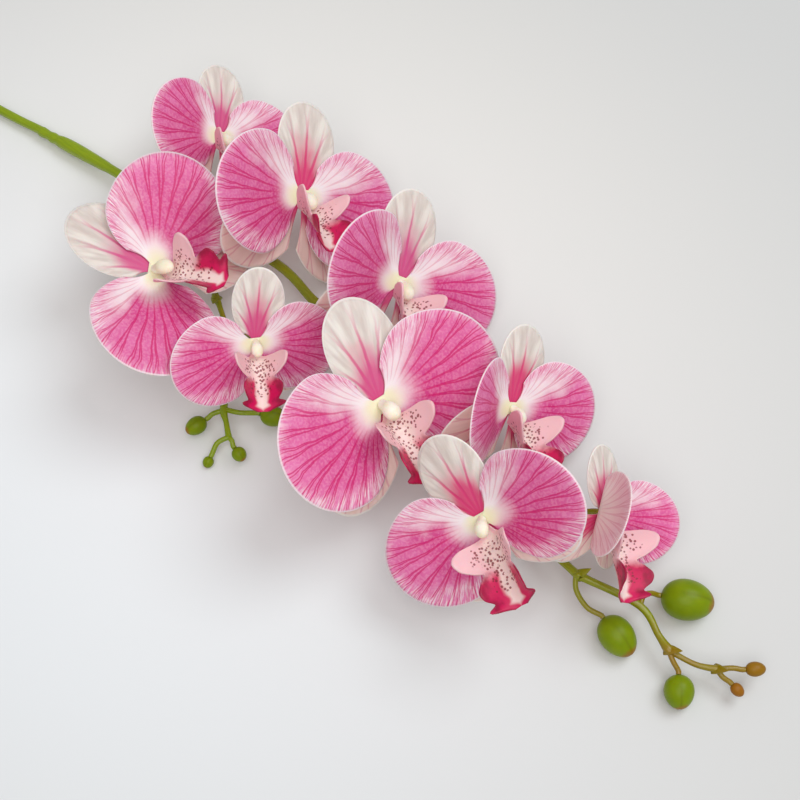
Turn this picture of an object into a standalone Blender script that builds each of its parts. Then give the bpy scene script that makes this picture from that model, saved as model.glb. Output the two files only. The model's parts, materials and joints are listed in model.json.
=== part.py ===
"""Moth orchid stem, cut and lying down: nine open blooms, a side branch and nine buds.

The stem runs along +X towards its tip, +Z is up and the surface that it lies on is z = 0.
Sizes are in millimetres; MM turns them into metres when a mesh is made.
"""
import math
from collections import namedtuple

import bmesh
import bpy
from mathutils import Matrix, Vector

MM = 0.001
OBJECT_NAME = "moth_orchid_stem"

# Added to every place below, so that the middle of the whole box is at x = y = 0.
SHIFT = Vector((102.66, -13.24, 0.0))

# All blooms turn towards one side: so far round from -Y to +X, and so high.
FACING_AROUND = math.radians(39)
FACING_UP = math.radians(65)

# One bloom: the middle of its claws, then how far the face is turned to its right, tipped up
# and rolled, its span, the lean of its petals and how far they hang (right, left), how far the
# top sepal is turned, the lean of the side sepals (right, left), the lip's length and how far
# it stands forward. Angles are in degrees.
Bloom = namedtuple("Bloom", "claw turn tip roll span lean droop top side lip")
BLOOMS = (
    Bloom((-160, 58, 32), 40, 1, -7, 79, (14, 23), (-1, 0), -1, (4, -3), (29, 45)),
    Bloom((-126, -22, 48), 21, 16, 63, 99, (13, 26), (-12, 19), -12, (-3, -3), (31.5, 42)),
    Bloom((-102.5, 53.5, 41), 39, -4, -6, 97, (8, 22), (4, 5), -2, (-1, -3), (33, 52)),
    Bloom((-37, 46, 40.25), 36, -13, -11, 93, (15, 29), (1, -6), 2, (0, -8), (33, 45)),
    Bloom((-65, -22, 50), 15, -21, 3, 70, (-4, 21), (9, 21), -5, (-8, 9.2), (28, 50)),
    Bloom((-1.5, -10.5, 51), 24, -1, 24, 103, (10, 26), (-2, 9), -6, (3, 4), (34, 30)),
    Bloom((42, 27, 43), 39, -12, -6, 80, (16, 38), (-2, 4), -9, (-3, -8), (33, 48)),
    Bloom((66, -27, 56), -18, -17, 31, 85, (22, 10), (8, 8), 3, (-3, -3), (33.5, 26)),
    Bloom((102.5, 14.3, 38), 44, -7, -8, 63, (38, 70), (4, -6), 9, (-6, -14), (33, 30)),
)

# A petal or sepal, in parts of the bloom's span: its length, how far along that it is widest,
# its half widths, the claw's half width and distance from the bloom's middle, and how much it
# bends back along and across. Its edge turns through reach degrees to each side of its tip: the
# side sepals stop short, so that they clear each other at their feet.
Blade = namedtuple("Blade", "length widest upper lower claw foot bend cross reach")
PETAL = Blade(0.565, 0.42, 0.294, 0.305, 0.034, 0.027, 0.068, 0.056, 150)
TOP_SEPAL = Blade(0.46, 0.52, 0.173, 0.173, 0.028, 0.022, 0.048, 0.048, 150)
SIDE_SEPAL = Blade(0.474, 0.50, 0.180, 0.180, 0.024, 0.030, 0.048, 0.048, 106)

# A blade's rays leave the claw at RAY_START of their heading, and it takes up its lean along
# CURL of its length.
RAY_START = 0.7
CURL = 0.22

# In millimetres: how thick blades and lips are, how far the sepals stand behind the petals, and
# the gap left between neighbouring pieces.
THICKNESS = 0.8
SEPAL_LEVEL = -1.15
FIT_GAP = 0.3

# The sepals' own angles in degrees, and the rings and spokes of each blade's grid.
TOP_SEPAL_LEAN = -3
SIDE_SEPAL_TURN = 45
PETAL_GRID = (4, 10)
SEPAL_GRID = (3, 6)

# The lip's claw at the column's foot, in parts of the span: half width, how far below the
# petals' claws and how far in front of them. Then the foot of the lip's blade, in millimetres
# below and in front, and the blade's profile in parts of the lip's length: place along it, half
# width, the angle at which its sides lift, and how far a side runs forward for its width. The
# first bulge is the pair of side lobes, the second the middle lobe's wings, the third a horn to
# each side just before the lobe's end.
LIP_CLAW = (0.016, 0.034, 0.016)
LIP_FOOT = (6.2, 1.7)
LIP_PROFILE = (
    (0.0, 0.085, 15, 0.1), (0.05, 0.22, 36, 0.05), (0.10, 0.42, 44, 0.0), (0.17, 0.54, 48, 0.0),
    (0.26, 0.575, 50, 0.0), (0.35, 0.51, 48, 0.05), (0.41, 0.37, 46, 0.1), (0.46, 0.25, 46, 0.1),
    (0.56, 0.33, 47, 0.1), (0.67, 0.40, 48, 0.1), (0.78, 0.37, 46, 0.1), (0.86, 0.27, 36, 0.1),
    (0.92, 0.37, 28, 0.1), (0.96, 0.20, 22, 0.1), (1.0, 0.09, 15, 0.1),
)

# In parts of the lip's length: the arc in which a side lifts, and how high the lip arches.
LIP_CREASE = 0.10
LIP_ARCH = 0.16
LIP_COLUMNS = 4

# The column in parts of the bloom's span: radius and height, and its lean over the lip.
COLUMN_PROFILE = (
    (0.0, 0.0), (0.022, 0.0), (0.028, 0.030), (0.037, 0.062), (0.034, 0.086), (0.019, 0.101),
    (0.0, 0.106),
)
COLUMN_LEAN = 0.42
COLUMN_SIDES = 8

# Faces that meet at more than this angle keep a sharp edge.
SHARP_ANGLE = math.radians(50)

# The stems: places with the stem's radius there. The short steps are knots. A tube's corners
# say how finely its round section is cut.
STEM_STEP = 13.0
STEM_CORNERS = 2
TWIG_CORNERS = 1
MAIN_STEM = (
    (-400, -2, 2.3, 2.3), (-340, 4.2, 2.8, 2.3), (-273, 11.8, 4, 2.3), (-251, 15, 4.8, 2.3),
    (-247, 15.3, 5, 2.8), (-243, 15.7, 5.2, 2.4), (-240, 16, 5.4, 2.9), (-237.5, 16.3, 5.6, 2.6),
    (-235, 16.6, 5.8, 3.2), (-229, 17.3, 6.2, 3.5), (-220, 18.1, 6.9, 3.4), (-207, 19.1, 8, 2.9),
    (-204, 19.3, 8.3, 2.6), (-193, 20, 9.2, 2.5), (-144, 23.4, 13, 2.4), (-99, 28, 15, 2.4),
    (-74, 24, 15, 2.4), (-66, 22.5, 15.8, 3.2),
    (-62, 21.5, 16, 2.5), (-8, 10, 12.5, 2.3), (46, 0, 12, 2.1), (103, -7.5, 15.4, 1.9),
    (107, -8, 16, 2.9), (111, -7, 15.5, 1.9), (136, -1, 12, 1.8), (150, -6.5, 11, 1.6),
    (157, -9, 11, 2.3), (160, -8.8, 11, 1.4), (170, -7, 11, 1.3), (178, -3, 11, 1.7),
)
SIDE_STEM = (
    (-143, 23.4, 13.1, 1.4), (-127, 8, 13.2, 1.5), (-114, -1, 13, 1.4), (-110, -4, 13, 2.3),
    (-106, -6, 13, 1.4), (-90, -17, 12, 1.4), (-80, -30, 10, 1.4), (-70, -44, 9, 1.9),
    (-65, -48, 8.6, 1.3), (-59, -53, 8, 1.6),
)

# Each bloom's pedicel: where it leaves a stem and the knee that it bends round. It widens by
# PEDICEL_FLARE to its end, and its last piece runs straight out of the bloom's back.
PEDICEL_RADIUS = 1.25
PEDICEL_FLARE = 0.5
PEDICEL_STRAIGHT = 9.0
PEDICEL_END = 2.5
PEDICEL_STEPS = 5
PEDICEL_ROUTES = (
    ((-190, 20.2, 9.4), (-182, 40, 12)), ((-158, 22.4, 11.9), (-150, 0, 17)),
    ((-130, 24.8, 13.7), (-122, 42, 17.5)), ((-66, 22.5, 15.8), (-58, 35, 20)),
    ((-91, -16, 12), (-84, -18, 24)), ((-34, 15.5, 14.2), (-24, 2, 24)),
    ((18, 5.5, 12.3), (33, 46, 14)), ((54, -1, 12), (56, -4, 28)), ((80, -5, 13.5), (87, 5.3, 22)),
)

# One bud: its middle, the way its tip points, its length and width, and its pedicel's route.
Bud = namedtuple("Bud", "middle points_to length width pedicel")
BUDS = (
    Bud((136, -17, 7.5), (1, -0.25, -0.15), 20, 15.6, ((106, -8, 16), (110, -13, 13), (118, -15.5, 10))),
    Bud((150.5, 15.5, 8.7), (1, 0.55, 0), 23.5, 18.6, ((136, -1, 12), (134.5, 4, 12), (136.5, 7.5, 10.5))),
    Bud((171, -20, 6.4), (0.6, -0.75, -0.2), 15, 13.4, ((157, -9, 11), (161, -11.5, 10))),
    Bud((191, 7.5, 11), (0.75, 0.65, 0), 8.9, 6.6, ((178, -3, 11), (183, 1.5, 11.4))),
    Bud((190, -4, 8), (1, -0.1, -0.25), 6.7, 5.4, ((178, -3, 11), (182, -4, 10))),
    Bud((-75, -58, 7), (-0.3, -1, -0.1), 10.7, 8.5, ((-70, -45, 9), (-72.5, -49, 8.5))),
    Bud((-60, -67, 2.6), (0.15, -0.9, -0.45), 5.6, 5.2, ((-59, -53, 8), (-61.5, -58, 7))),
    Bud((-50, -56, 6.5), (1, -0.25, -0.1), 7.2, 6.8, ((-59, -53, 8), (-56.5, -53.5, 8))),
    Bud((-50, -32, 8), (0.9, 0.45, 0), 12.5, 10, ((-70, -44, 9), (-63, -41, 9.5))),
)
BUD_TAPER = 0.08
BUD_PEDICEL_END = 1.5
LARGE_BUD = 12.0
LARGE_BUD_GRID = (12, 8)
SMALL_BUD_GRID = (8, 6)

# The bracts, small scales at the knots: where each stands and the way its point goes.
BRACTS = (
    ((-66, 22.5, 15.8), (0.9, 0.45, 0.6)), ((-110, -4, 13), (0.4, -0.7, 0.7)),
    ((107, -8, 16), (0.5, 0.7, 0.7)), ((157, -9, 11), (0.9, 0.3, 0.8)), ((178, -3, 11), (0.7, 0.1, 0.9)),
)
BRACT_SIDES = 6
BRACT_LENGTH = 9.0
BRACT_RADIUS = 2.6
BRACT_TIP = 0.35
BRACT_FLATNESS = 0.45
BRACT_SUNK = 0.2


def clear_scene():
    """Remove whatever objects the file starts with."""
    for found in list(bpy.data.objects):
        bpy.data.objects.remove(found, do_unlink=True)


def material(name, colour, roughness):
    """A Principled material of one colour."""
    made = bpy.data.materials.new(name)
    made.use_nodes = True
    shader = made.node_tree.nodes["Principled BSDF"]
    shader.inputs["Base Color"].default_value = (*colour, 1.0)
    shader.inputs["Roughness"].default_value = roughness
    shader.inputs["Metallic"].default_value = 0.0
    return made


def new_object(name, bm, look, collection):
    """A smooth object from a bmesh in millimetres, moved and scaled to metres."""
    for vert in bm.verts:
        vert.co = (vert.co + SHIFT) * MM
    mesh = bpy.data.meshes.new(name)
    bm.to_mesh(mesh)
    bm.free()
    mesh.shade_smooth()
    mesh.set_sharp_from_angle(angle=SHARP_ANGLE)
    mesh.materials.append(look)
    made = bpy.data.objects.new(name, mesh)
    collection.objects.link(made)
    return made


def bloom_matrix(bloom):
    """The bloom's frame: x to its right, y to its top sepal, z out of its face."""
    around, up = FACING_AROUND, FACING_UP
    right = Vector((math.cos(around), math.sin(around), 0))
    out = Vector((math.sin(around) * math.cos(up), -math.cos(around) * math.cos(up), math.sin(up)))
    common = Matrix((right, out.cross(right), out)).transposed()
    own = (Matrix.Rotation(math.radians(bloom.turn), 3, "Y")
           @ Matrix.Rotation(math.radians(-bloom.tip), 3, "X")
           @ Matrix.Rotation(math.radians(bloom.roll), 3, "Z"))
    return Matrix.Translation(bloom.claw) @ (common @ own).to_4x4()


def curl(distance, arc, angle):
    """Where a strip reaches that turns up through an angle along an arc, then runs straight."""
    if abs(angle) < 1e-6:
        return distance, 0.0
    radius = arc / angle
    turned = min(distance, arc) / radius
    rest = max(0.0, distance - arc)
    return (radius * math.sin(turned) + rest * math.cos(turned),
            radius * (1 - math.cos(turned)) + rest * math.sin(turned))


def blade_point(blade, s, t, lean):
    """A point of a blade: s runs from claw to edge, t from -1 at one side to 1 at the other."""
    angle = t * math.radians(blade.reach)
    reach = blade.widest if abs(angle) > math.pi / 2 else 1 - blade.widest
    half = blade.upper if t > 0 else blade.lower
    start = Vector((0, blade.claw * t))
    end = Vector((blade.length * (blade.widest + reach * math.cos(angle)), half * math.sin(angle)))
    ray = end - start
    heading = RAY_START * math.atan2(ray.y, ray.x)
    middle = start + 0.5 * ray.length * Vector((math.cos(heading), math.sin(heading)))
    flat = (1 - s) ** 2 * start + 2 * s * (1 - s) * middle + s * s * end
    back = -(blade.bend * flat.x ** 2 + blade.cross * flat.y ** 2) / blade.length ** 2
    bent = math.radians(lean) * min(1.0, flat.x / (CURL * blade.length))
    along, up = curl(flat.x, CURL * blade.length, math.radians(lean))
    along += blade.foot - back * math.sin(bent)
    return Vector((along, flat.y, up + back * math.cos(bent)))


def blade_rows(blade, bloom, grid, lean, turn, level, mirrored=False):
    """Rows of points from claw to edge; the blade's axis is turned in the bloom's plane."""
    rings, spokes = grid
    spin = Matrix.Rotation(math.radians(turn), 3, "Z")
    flip = Vector((-1 if mirrored else 1, 1, 1))
    rows = []
    for i in range(rings + 1):
        row = []
        for j in range(spokes + 1):
            point = blade_point(blade, i / rings, 2 * j / spokes - 1, lean)
            row.append((spin @ point) * flip * bloom.span + Vector((0, 0, level)))
        rows.append(row[::-1] if mirrored else row)
    return rows


def lip_rows(bloom):
    """Rows of points of the lip from its claw to its horns; the sides lift out of a crease."""
    length, forward = bloom.lip
    below, front = LIP_FOOT
    down = Vector((0, -math.cos(math.radians(forward)), math.sin(math.radians(forward))))
    out = Vector((0, down.z, -down.y))
    across = [2 * j / LIP_COLUMNS - 1 for j in range(LIP_COLUMNS + 1)]
    claw_half, claw_below, claw_front = LIP_CLAW
    rows = [[Vector((claw_half * t, -claw_below, claw_front)) * bloom.span for t in across]]
    for along, half, lift, sweep in LIP_PROFILE:
        row = []
        for t in across:
            aside, rise = curl(half * abs(t), LIP_CREASE, math.radians(lift))
            rise += LIP_ARCH * along * (1 - along)
            point = Vector((math.copysign(aside, t), 0, 0))
            point += down * (along + sweep * aside) + out * rise
            row.append(point * length + Vector((0, -below, front)))
        rows.append(row)
    return rows


def add_sheet(bm, rows, frame):
    """A grid of triangles through rows of points. Returns the row at the claw."""
    grid = [[bm.verts.new(frame @ point) for point in row] for row in rows]
    for near, far in zip(grid, grid[1:]):
        for a, b, c, d in zip(near, far, far[1:], near[1:]):
            bm.faces.new((a, b, c))
            bm.faces.new((a, c, d))
    return grid[0]


def layer(name, sheets, frame, look, collection):
    """One moulded layer: sheets round a small hub, made solid behind the face."""
    bm = bmesh.new()
    rim = []
    for rows in sheets:
        rim += add_sheet(bm, rows, frame)
    if len(sheets) > 1:
        hub = bm.faces.new(rim)
        bmesh.ops.triangulate(bm, faces=[hub])
    bmesh.ops.recalc_face_normals(bm, faces=bm.faces)
    looks_to = sum((face.normal * face.calc_area() for face in bm.faces), Vector())
    if looks_to.dot(frame.to_3x3().col[2]) < 0:
        bmesh.ops.reverse_faces(bm, faces=bm.faces)
    made = new_object(name, bm, look, collection)
    solid = made.modifiers.new("thickness", "SOLIDIFY")
    solid.thickness = THICKNESS * MM
    solid.offset = -1.0


def add_petals(name, bloom, frame, look, collection):
    """The two petals, one layer across the hub."""
    right = blade_rows(PETAL, bloom, PETAL_GRID, bloom.lean[0], -bloom.droop[0], 0)
    left = blade_rows(PETAL, bloom, PETAL_GRID, bloom.lean[1], -bloom.droop[1], 0, mirrored=True)
    layer(name, (right, left), frame, look, collection)


def add_sepals(name, bloom, frame, look, collection):
    """The three sepals, one layer behind the petals."""
    turn = -SIDE_SEPAL_TURN
    right = blade_rows(SIDE_SEPAL, bloom, SEPAL_GRID, bloom.side[0], turn, SEPAL_LEVEL)
    top = blade_rows(TOP_SEPAL, bloom, SEPAL_GRID, TOP_SEPAL_LEAN, 90 + bloom.top, SEPAL_LEVEL)
    left = blade_rows(SIDE_SEPAL, bloom, SEPAL_GRID, bloom.side[1], turn, SEPAL_LEVEL, mirrored=True)
    layer(name, (right, top, left), frame, look, collection)


def add_lip(name, bloom, frame, look, collection):
    """The lip: side lobes, a trough with two wings, and a horn to each side near its end."""
    layer(name, (lip_rows(bloom),), frame, look, collection)


def add_column(name, bloom, frame, look, collection):
    """The column: a turned knob that leans over the lip."""
    bm = bmesh.new()
    profile = [bm.verts.new((radius, 0, height)) for radius, height in COLUMN_PROFILE]
    edges = [bm.edges.new(pair) for pair in zip(profile, profile[1:])]
    bmesh.ops.spin(bm, geom=[*profile, *edges], cent=(0, 0, 0), axis=(0, 0, 1), angle=math.tau,
                   steps=COLUMN_SIDES, use_merge=True)
    bmesh.ops.remove_doubles(bm, verts=bm.verts, dist=0.0001)
    bmesh.ops.recalc_face_normals(bm, faces=bm.faces)
    for vert in bm.verts:
        leaned = vert.co - Vector((0, COLUMN_LEAN * vert.co.z, 0))
        vert.co = frame @ (leaned * bloom.span + Vector((0, 0, FIT_GAP)))
    new_object(name, bm, look, collection)


def smooth_route(points):
    """Places with radii along a smooth line through the given ones, no step over STEM_STEP."""
    known = [Vector(point) for point in points]
    route = [known[0]]
    for i, (start, end) in enumerate(zip(known, known[1:])):
        before = known[max(i - 1, 0)]
        after = known[min(i + 2, len(known) - 1)]
        steps = max(1, round((end - start).length / STEM_STEP))
        for k in range(1, steps + 1):
            t = k / steps
            bend = (end - before) * t + (2 * before - 5 * start + 4 * end - after) * t ** 2
            bend += (3 * start - before - 3 * end + after) * t ** 3
            route.append(start + 0.5 * bend)
    return route


def add_tube(route, corners, look, collection):
    """A round tube through places with radii, as a closed mesh."""
    curve = bpy.data.curves.new("tube", "CURVE")
    curve.dimensions = "3D"
    curve.bevel_depth = 1.0
    curve.bevel_resolution = corners
    curve.use_fill_caps = True
    spline = curve.splines.new("POLY")
    spline.points.add(len(route) - 1)
    for place, (x, y, z, radius) in zip(spline.points, route):
        place.co = (x, y, z, 1.0)
        place.radius = radius
    drawn = bpy.data.objects.new("tube", curve)
    bpy.context.scene.collection.objects.link(drawn)
    evaluated = drawn.evaluated_get(bpy.context.evaluated_depsgraph_get())
    mesh = bpy.data.meshes.new_from_object(evaluated)
    bm = bmesh.new()
    bm.from_mesh(mesh)
    bmesh.ops.remove_doubles(bm, verts=bm.verts, dist=0.01)
    bmesh.ops.recalc_face_normals(bm, faces=bm.faces)
    bpy.data.objects.remove(drawn, do_unlink=True)
    return new_object("tube", bm, look, collection)


def pedicel_route(bloom, root, knee):
    """Out of the stem, round the knee, then straight to the middle of the bloom's back."""
    out = bloom_matrix(bloom).to_3x3().col[2]
    end = Vector(bloom.claw) + out * (SEPAL_LEVEL - THICKNESS - FIT_GAP)
    near = end - out * PEDICEL_END
    start, behind = Vector(root), near - out * PEDICEL_STRAIGHT
    route = []
    for k in range(PEDICEL_STEPS + 1):
        t = k / PEDICEL_STEPS
        place = (start * (1 - t) ** 3 + Vector(knee) * (3 * t * (1 - t) ** 2)
                 + behind * (3 * t ** 2 * (1 - t)) + near * t ** 3)
        route.append((*place, PEDICEL_RADIUS + PEDICEL_FLARE * t ** 4))
    return [*route, (*end, PEDICEL_RADIUS + PEDICEL_FLARE)]


def bud_pedicel_route(bud):
    """From the stem to the bud's round end, the last step along the bud's own line."""
    aim = Vector(bud.points_to).normalized()
    end = Vector(bud.middle) - aim * (bud.length / 2 + FIT_GAP)
    route = [(*point, PEDICEL_RADIUS) for point in (*bud.pedicel, end - BUD_PEDICEL_END * aim, end)]
    return smooth_route(route)


def add_bract(place, points_to, look, collection):
    """A small flat pointed scale standing out of a knot."""
    bm = bmesh.new()
    bmesh.ops.create_cone(bm, cap_ends=True, segments=BRACT_SIDES, radius1=BRACT_RADIUS, radius2=BRACT_TIP,
                          depth=BRACT_LENGTH)
    bmesh.ops.scale(bm, vec=(BRACT_FLATNESS, 1.0, 1.0), verts=bm.verts)
    bmesh.ops.translate(bm, vec=(0, 0, BRACT_LENGTH * (0.5 - BRACT_SUNK)), verts=bm.verts)
    turn = Vector(points_to).to_track_quat("Z", "X").to_matrix().to_4x4()
    bm.transform(Matrix.Translation(place) @ turn)
    new_object("bract", bm, look, collection)


def add_stem(look, collection):
    """The main stem, the side branch, every pedicel and the bracts, joined in one body."""
    pieces = bpy.data.collections.new("stem pieces")
    bpy.context.scene.collection.children.link(pieces)
    main = add_tube(smooth_route(MAIN_STEM), STEM_CORNERS, look, collection)
    main.name = "stem"
    add_tube(smooth_route(SIDE_STEM), TWIG_CORNERS, look, pieces)
    for bloom, (root, knee) in zip(BLOOMS, PEDICEL_ROUTES):
        add_tube(pedicel_route(bloom, root, knee), TWIG_CORNERS, look, pieces)
    for bud in BUDS:
        add_tube(bud_pedicel_route(bud), TWIG_CORNERS, look, pieces)
    for place, points_to in BRACTS:
        add_bract(place, points_to, look, pieces)
    joined = main.modifiers.new("joined", "BOOLEAN")
    joined.operation = "UNION"
    joined.operand_type = "COLLECTION"
    joined.collection = pieces
    joined.solver = "EXACT"
    evaluated = main.evaluated_get(bpy.context.evaluated_depsgraph_get())
    whole = bpy.data.meshes.new_from_object(evaluated)
    main.modifiers.clear()
    main.data = whole
    for piece in list(pieces.objects):
        bpy.data.objects.remove(piece, do_unlink=True)
    bpy.data.collections.remove(pieces)


def add_bud(name, bud, look, collection):
    """A bud: an egg that narrows to its tip, flat where it rests on the surface."""
    around, along = LARGE_BUD_GRID if bud.length > LARGE_BUD else SMALL_BUD_GRID
    bm = bmesh.new()
    bmesh.ops.create_uvsphere(bm, u_segments=around, v_segments=along, radius=1.0)
    for vert in bm.verts:
        half_width = (1 - BUD_TAPER * vert.co.z) * bud.width / 2
        vert.co = Vector((vert.co.x * half_width, vert.co.y * half_width, vert.co.z * bud.length / 2))
    turn = Vector(bud.points_to).to_track_quat("Z", "X").to_matrix().to_4x4()
    bm.transform(Matrix.Translation(bud.middle) @ turn)
    if min(vert.co.z for vert in bm.verts) < 0:
        cut = bmesh.ops.bisect_plane(bm, geom=[*bm.verts, *bm.edges, *bm.faces], plane_co=(0, 0, 0),
                                     plane_no=(0, 0, -1), clear_outer=True)
        rim = [item for item in cut["geom_cut"] if isinstance(item, bmesh.types.BMEdge)]
        bmesh.ops.contextual_create(bm, geom=rim)
    bm.normal_update()
    bmesh.ops.recalc_face_normals(bm, faces=bm.faces)
    new_object(name, bm, look, collection)


def build():
    """Make every piece of the spray."""
    clear_scene()
    collection = bpy.data.collections.new(OBJECT_NAME)
    bpy.context.scene.collection.children.link(collection)
    petal_look = material("petal", (0.76, 0.16, 0.43), 0.5)
    sepal_look = material("sepal", (0.85, 0.74, 0.72), 0.5)
    lip_look = material("lip", (0.72, 0.05, 0.15), 0.45)
    column_look = material("column", (0.87, 0.83, 0.62), 0.45)
    stem_look = material("stem", (0.26, 0.36, 0.03), 0.45)
    bud_look = material("bud", (0.22, 0.38, 0.02), 0.4)
    add_stem(stem_look, collection)
    for number, bud in enumerate(BUDS, start=1):
        add_bud(f"bud_{number}", bud, bud_look, collection)
    for number, bloom in enumerate(BLOOMS, start=1):
        frame = bloom_matrix(bloom)
        add_sepals(f"bloom_{number}_sepals", bloom, frame, sepal_look, collection)
        add_petals(f"bloom_{number}_petals", bloom, frame, petal_look, collection)
        add_lip(f"bloom_{number}_lip", bloom, frame, lip_look, collection)
        add_column(f"bloom_{number}_column", bloom, frame, column_look, collection)


build()
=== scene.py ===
"""The looks of a cut moth orchid stem that lies on a pale surface.

Every bloom has a layer of petals, a layer of sepals, a lip and a column; a stem with a side
branch carries the blooms and nine buds. Shapes follow the same named values as the solids, in
millimetres in the spray's own frame, and MM and SHIFT bring them to the row's frame in metres.
"""
import json
import math
from collections import namedtuple

import bmesh
import bpy
from mathutils import Matrix, Vector

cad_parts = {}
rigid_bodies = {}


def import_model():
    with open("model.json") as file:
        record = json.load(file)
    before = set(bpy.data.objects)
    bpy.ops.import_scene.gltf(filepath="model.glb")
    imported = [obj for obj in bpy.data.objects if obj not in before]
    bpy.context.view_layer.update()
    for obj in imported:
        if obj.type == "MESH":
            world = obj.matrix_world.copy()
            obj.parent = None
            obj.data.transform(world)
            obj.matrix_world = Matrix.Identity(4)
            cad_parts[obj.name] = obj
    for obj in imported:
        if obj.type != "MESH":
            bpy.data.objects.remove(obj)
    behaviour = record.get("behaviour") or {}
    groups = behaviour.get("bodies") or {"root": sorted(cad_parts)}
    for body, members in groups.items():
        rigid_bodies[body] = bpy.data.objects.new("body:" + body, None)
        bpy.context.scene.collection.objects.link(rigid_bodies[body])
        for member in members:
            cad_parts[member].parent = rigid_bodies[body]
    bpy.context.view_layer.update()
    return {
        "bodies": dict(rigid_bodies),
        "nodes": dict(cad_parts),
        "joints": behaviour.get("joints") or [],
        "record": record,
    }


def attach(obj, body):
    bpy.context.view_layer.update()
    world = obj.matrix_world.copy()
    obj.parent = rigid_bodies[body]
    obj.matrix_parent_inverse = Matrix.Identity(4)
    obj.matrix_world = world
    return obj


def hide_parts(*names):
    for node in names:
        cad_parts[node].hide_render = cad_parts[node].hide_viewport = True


MM = 0.001
SHIFT = Vector((102.66, -13.24, 0.0))
# All blooms turn towards one side: so far round from -Y to +X, and so high.
FACING_AROUND = math.radians(39)
FACING_UP = math.radians(65)

# One bloom: the middle of its claws, how far its face is turned, tipped and rolled, its span, the
# lean and droop of its right and left petal, its top sepal's turn, its side sepals' lean, and the
# lip's length and how far it stands forward. Angles are in degrees.
Bloom = namedtuple("Bloom", "claw turn tip roll span lean droop top side lip")
BLOOMS = (
    Bloom((-160, 58, 32), 40, 1, -7, 79, (14, 23), (-1, 0), -1, (4, -3), (29, 45)),
    Bloom((-126, -22, 48), 21, 16, 63, 99, (13, 26), (-12, 19), -12, (-3, -3), (31.5, 42)),
    Bloom((-102.5, 53.5, 41), 39, -4, -6, 97, (8, 22), (4, 5), -2, (-1, -3), (33, 52)),
    Bloom((-37, 46, 40.25), 36, -13, -11, 93, (15, 29), (1, -6), 2, (0, -8), (33, 45)),
    Bloom((-65, -22, 50), 15, -21, 3, 70, (-4, 21), (9, 21), -5, (-8, 9.2), (28, 50)),
    Bloom((-1.5, -10.5, 51), 24, -1, 24, 103, (10, 26), (-2, 9), -6, (3, 4), (34, 30)),
    Bloom((42, 27, 43), 39, -12, -6, 80, (16, 38), (-2, 4), -9, (-3, -8), (33, 48)),
    Bloom((66, -27, 56), -18, -17, 31, 85, (22, 10), (8, 8), 3, (-3, -3), (33.5, 26)),
    Bloom((102.5, 14.3, 38), 44, -7, -8, 63, (38, 70), (4, -6), 9, (-6, -14), (33, 30)),
)

# A petal or sepal, in parts of the span: its length, where it is widest, its half widths, the
# claw's half width and place, how much it bends back along and across. Its edge turns through
# reach degrees to each side of its tip.
Blade = namedtuple("Blade", "length widest upper lower claw foot bend cross reach")
PETAL = Blade(0.565, 0.42, 0.294, 0.305, 0.034, 0.027, 0.068, 0.056, 150)
TOP_SEPAL = Blade(0.46, 0.52, 0.173, 0.173, 0.028, 0.022, 0.048, 0.048, 150)
SIDE_SEPAL = Blade(0.474, 0.50, 0.180, 0.180, 0.024, 0.030, 0.048, 0.048, 106)
# A blade's rays leave the claw at RAY_START of their heading, and it leans over CURL of its length.
RAY_START = 0.7
CURL = 0.22
STRAIGHT = 1e-6
THICKNESS = 0.8
SEPAL_LEVEL = -1.15
EDGE_THINNING = 0.45
FIT_GAP = 0.3
TOP_SEPAL_LEAN = -3
SIDE_SEPAL_TURN = 45

# Rings and spokes of the fine grids, and how much the outline is drawn in so that the rounder
# edge stays inside the solids' box.
PETAL_GRID = (22, 56)
SEPAL_GRID = (18, 36)
DRAWN_IN = 0.985
WAVE = 0.006
WAVE_TURNS = 5.0

LIP_CLAW = (0.016, 0.034, 0.016)
LIP_FOOT = (6.2, 1.7)
# Along the lip, in its lengths: place, half width, its sides' lift in degrees and their sweep.
LIP_PROFILE = (
    (0.0, 0.085, 15, 0.1), (0.05, 0.22, 36, 0.05), (0.10, 0.42, 44, 0.0), (0.17, 0.54, 48, 0.0),
    (0.26, 0.575, 50, 0.0), (0.35, 0.51, 48, 0.05), (0.41, 0.37, 46, 0.1), (0.46, 0.25, 46, 0.1),
    (0.56, 0.33, 47, 0.1), (0.67, 0.40, 48, 0.1), (0.78, 0.37, 46, 0.1), (0.86, 0.27, 36, 0.1),
    (0.92, 0.37, 28, 0.1), (0.96, 0.20, 22, 0.1), (1.0, 0.09, 15, 0.1),
)
LIP_CREASE = 0.10
LIP_ARCH = 0.16
LIP_CUP = 0.14
# The callus, a small mound in the trough: its height, its middle and its size, in lip lengths.
CALLUS = 0.035
CALLUS_ALONG = 0.24
CALLUS_LENGTH = 0.05
CALLUS_WIDTH = 0.14
LIP_CLAW_SHARE = 0.04
LIP_COLUMNS = 36
LIP_STEPS = 5

COLUMN_PROFILE = (
    (0.0, 0.0), (0.022, 0.0), (0.028, 0.030), (0.037, 0.062), (0.034, 0.086), (0.019, 0.101),
    (0.0, 0.106),
)
COLUMN_LEAN = 0.42
COLUMN_SIDES = 24
COLUMN_STEPS = 4

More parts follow.
